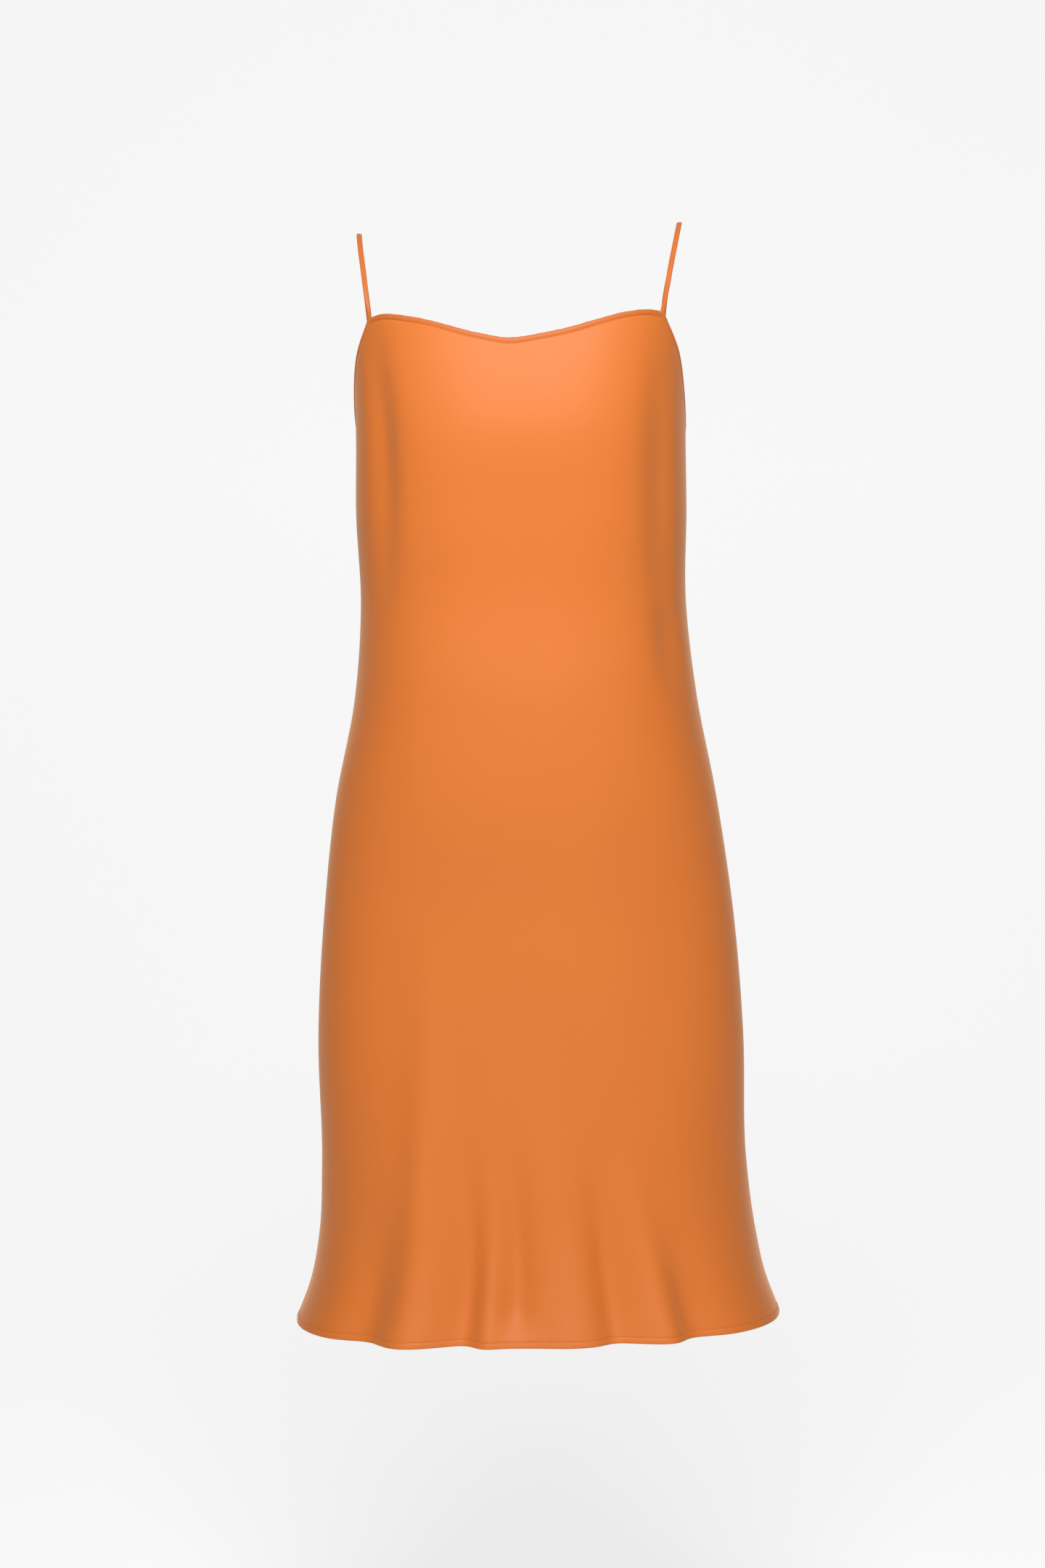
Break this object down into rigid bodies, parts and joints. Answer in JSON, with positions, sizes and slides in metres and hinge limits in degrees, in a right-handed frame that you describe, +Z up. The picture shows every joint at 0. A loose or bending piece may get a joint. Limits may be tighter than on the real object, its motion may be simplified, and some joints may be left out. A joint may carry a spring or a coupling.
{
  "type": "slip dress",
  "caption": "Bias-cut satin slip dress with thin straps, a softly dipped neckline, bound top edges and a flared, narrowly turned-up hem, filled out as worn.",
  "frame": {"origin": "midway between the tops of the two straps, where the wearer's shoulders hold them", "axes": "+Z up along the dress, the front faces -Y, +X is to the right of someone looking at the front"},
  "size_m": [0.448, 0.3069, 1.0036],
  "materials": {
    "satin": "satin"
  },
  "bodies": {
    "root": {"front_panel": "satin", "back_panel": "satin", "neck_binding": "satin", "back_binding": "satin", "strap_binding_left": "satin", "strap_binding_right": "satin"}
  },
  "joints": []
}
